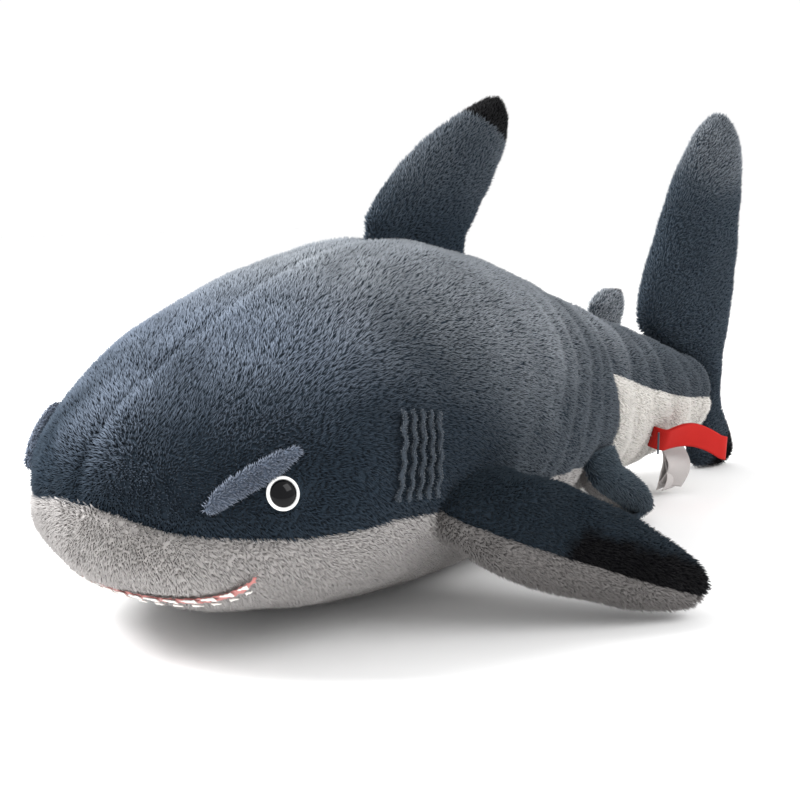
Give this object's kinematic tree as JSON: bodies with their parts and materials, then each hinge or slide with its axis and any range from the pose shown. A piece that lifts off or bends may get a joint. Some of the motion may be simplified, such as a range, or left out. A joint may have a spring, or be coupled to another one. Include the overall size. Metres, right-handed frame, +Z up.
{
  "type": "plush shark",
  "caption": "Sewn and stuffed plush shark with a bending tail, fins that flap on their root seams, plastic eyes, sewn gill tucks and a cloth mouth with felt teeth; it lies on its belly.",
  "frame": {"origin": "on the floor, in the middle of the flat that the belly rests on", "axes": "+X towards the nose, +Y towards the shark's left side, +Z up"},
  "size_m": [0.692, 0.464, 0.322],
  "materials": {
    "slate_plush": "cut pile, matt",
    "pale_plush": "cut pile, matt",
    "cream_plush": "cut pile, matt",
    "black_plush": "cut pile, matt",
    "fibre_filling": "loose fibre",
    "white_eye_plastic": "gloss",
    "black_eye_plastic": "high gloss",
    "washer_plastic": "as moulded",
    "mouth_cloth": "short nap",
    "tooth_felt": "felt",
    "sewing_thread": "thread",
    "red_woven_tape": "woven, slight sheen",
    "white_satin_tape": "satin"
  },
  "bodies": {
    "trunk": {"back_cover_left": "slate_plush", "back_cover_right": "slate_plush", "belly_cover": "pale_plush", "trunk_filling": "fibre_filling", "eye_left": "white_eye_plastic", "eye_right": "white_eye_plastic", "pupil_left": "black_eye_plastic", "pupil_right": "black_eye_plastic", "eye_washer_left": "washer_plastic", "eye_washer_right": "washer_plastic", "brow_left": "slate_plush", "brow_right": "slate_plush", "gill_tucks_left": "slate_plush", "gill_tucks_right": "slate_plush", "mouth_lining": "mouth_cloth", "upper_teeth": "tooth_felt", "lower_teeth": "tooth_felt", "closing_stitches": "sewing_thread", "dorsal_root_stitching": "sewing_thread", "pectoral_stitching_left": "sewing_thread", "pectoral_stitching_right": "sewing_thread", "pelvic_stitching_left": "sewing_thread", "pelvic_stitching_right": "sewing_thread"},
    "dorsal_fin": {"dorsal_cover_left": "slate_plush", "dorsal_cover_right": "slate_plush", "dorsal_tip": "black_plush", "dorsal_filling": "fibre_filling"},
    "pectoral_fin_left": {"pectoral_top_left": "slate_plush", "pectoral_underside_left": "pale_plush", "pectoral_filling_left": "fibre_filling"},
    "pectoral_fin_right": {"pectoral_top_right": "slate_plush", "pectoral_underside_right": "pale_plush", "pectoral_filling_right": "fibre_filling"},
    "pelvic_fin_left": {"pelvic_top_left": "slate_plush", "pelvic_underside_left": "pale_plush", "pelvic_filling_left": "fibre_filling"},
    "pelvic_fin_right": {"pelvic_top_right": "slate_plush", "pelvic_underside_right": "pale_plush", "pelvic_filling_right": "fibre_filling"},
    "tail_stem": {"tail_back_cover_left": "slate_plush", "tail_back_cover_right": "slate_plush", "tail_belly_cover": "cream_plush", "tail_filling": "fibre_filling", "second_dorsal_stitching": "sewing_thread", "label_stitching": "sewing_thread"},
    "second_dorsal_fin": {"second_dorsal_cover_left": "black_plush", "second_dorsal_cover_right": "black_plush", "second_dorsal_filling": "fibre_filling"},
    "tail_fin": {"tail_fin_cover_left": "slate_plush", "tail_fin_cover_right": "slate_plush", "tail_fin_filling": "fibre_filling"},
    "woven_label_loop": {"woven_label": "red_woven_tape"},
    "care_label_leaves": {"care_label": "white_satin_tape"}
  },
  "joints": [
    {"name": "waist_bend", "type": "hinge", "parent": "trunk", "child": "tail_stem", "pos_m": [-0.13875, 0.0035, 0.087], "axis": [0, 0, 1], "range_deg": [-18, 18], "stiffness_Nm_per_rad": 0.8},
    {"name": "tail_fin_sway", "type": "hinge", "parent": "tail_stem", "child": "tail_fin", "pos_m": [-0.32044, 0.03369, 0.08], "axis": [0, 0, 1], "range_deg": [-25, 25], "stiffness_Nm_per_rad": 0.3},
    {"name": "dorsal_sway", "type": "hinge", "parent": "trunk", "child": "dorsal_fin", "pos_m": [-0.023, 0, 0.2189], "axis": [0.9943, 0, 0.1069], "range_deg": [-30, 30], "stiffness_Nm_per_rad": 0.3},
    {"name": "second_dorsal_sway", "type": "hinge", "parent": "tail_stem", "child": "second_dorsal_fin", "pos_m": [-0.25294, 0.01874, 0.1473], "axis": [0.9539, -0.1716, 0.2462], "range_deg": [-30, 30], "stiffness_Nm_per_rad": 0.03},
    {"name": "pectoral_flap_left", "type": "hinge", "parent": "trunk", "child": "pectoral_fin_left", "pos_m": [0.06819, 0.12742, 0.06605], "axis": [0.976, 0.1462, 0.1614], "range_deg": [-18, 30], "stiffness_Nm_per_rad": 0.8},
    {"name": "pectoral_flap_right", "type": "hinge", "parent": "trunk", "child": "pectoral_fin_right", "pos_m": [0.06819, -0.12742, 0.06605], "axis": [-0.976, 0.1462, -0.1614], "range_deg": [-18, 30], "stiffness_Nm_per_rad": 0.8},
    {"name": "pelvic_flap_left", "type": "hinge", "parent": "trunk", "child": "pelvic_fin_left", "pos_m": [-0.12314, 0.08832, 0.0494], "axis": [0.9733, 0.2233, 0.0533], "range_deg": [-10, 25], "stiffness_Nm_per_rad": 0.12},
    {"name": "pelvic_flap_right", "type": "hinge", "parent": "trunk", "child": "pelvic_fin_right", "pos_m": [-0.13496, -0.08218, 0.0494], "axis": [-0.9461, 0.3207, -0.0461], "range_deg": [-10, 25], "stiffness_Nm_per_rad": 0.12},
    {"name": "woven_label_swing", "type": "hinge", "parent": "tail_stem", "child": "woven_label_loop", "pos_m": [-0.23489, 0.08139, 0.05077], "axis": [0, 0, 1], "range_deg": [-55, 10], "stiffness_Nm_per_rad": 0.002},
    {"name": "care_label_lift", "type": "hinge", "parent": "tail_stem", "child": "care_label_leaves", "pos_m": [-0.26562, 0.07513, 0.046], "axis": [-0.9809, 0.1946, 0], "range_deg": [-32, 8], "stiffness_Nm_per_rad": 0.01}
  ]
}
